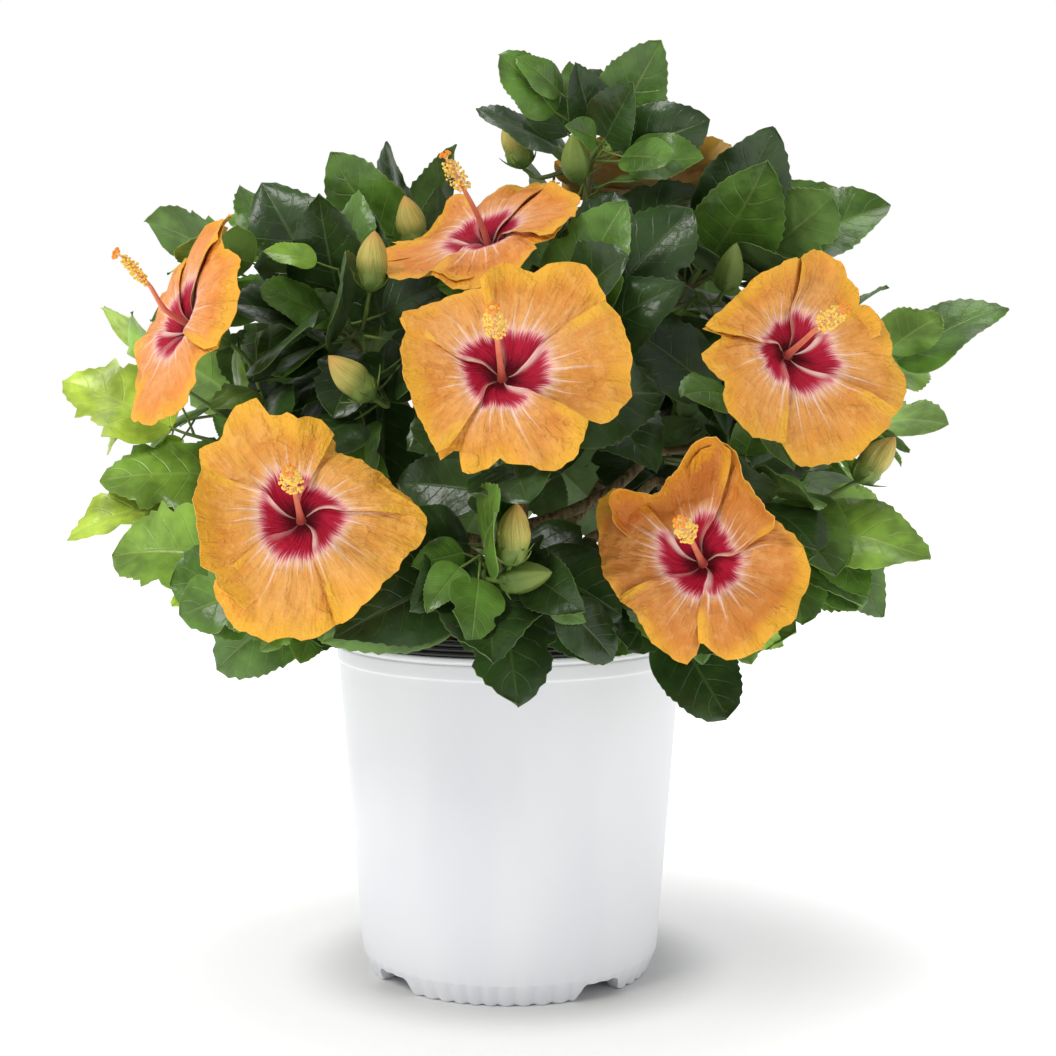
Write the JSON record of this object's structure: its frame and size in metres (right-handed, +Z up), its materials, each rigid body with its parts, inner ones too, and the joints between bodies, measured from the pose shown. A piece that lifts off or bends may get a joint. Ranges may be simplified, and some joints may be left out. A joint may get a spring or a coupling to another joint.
{
  "type": "potted hibiscus shrub",
  "caption": "Bushy hibiscus shrub with glossy toothed leaves, buds and broad open blooms, standing in a round white nursery pot.",
  "frame": {"origin": "centre of the pot's flat underside, on the ground", "axes": "+Z up along the pot's axis; -Y towards the side of the crown that carries most blooms; +X to the right of a viewer who looks along +Y"},
  "size_m": [0.621, 0.5356, 0.605],
  "materials": {
    "pot_plastic": "white moulded plastic, satin",
    "liner_plastic": "black moulded plastic",
    "soil": "moist bark and peat potting mix",
    "bark": "smooth grey-brown bark",
    "foliage": "glossy dark green leaves"
  },
  "bodies": {
    "root": {"pot": "pot_plastic", "liner": "liner_plastic", "soil": "soil", "trunk": "bark", "bough_front_left": "bark", "bough_front": "bark", "bough_front_right": "bark", "bough_right_front": "bark", "bough_right": "bark", "bough_left": "bark", "bough_left_top": "bark", "bough_top_left": "bark", "bough_upper": "bark", "bough_top": "bark", "bough_top_right": "bark", "bough_back_right": "bark", "bough_back": "bark", "bough_back_left": "bark", "foliage_front_left": "foliage", "foliage_front": "foliage", "foliage_front_right": "foliage", "foliage_right_front": "foliage", "foliage_right": "foliage", "foliage_left": "foliage", "foliage_left_top": "foliage", "foliage_top_left": "foliage", "foliage_upper": "foliage", "foliage_top": "foliage", "foliage_top_right": "foliage", "foliage_back_right": "foliage", "foliage_back": "foliage", "foliage_back_left": "foliage"}
  },
  "joints": []
}
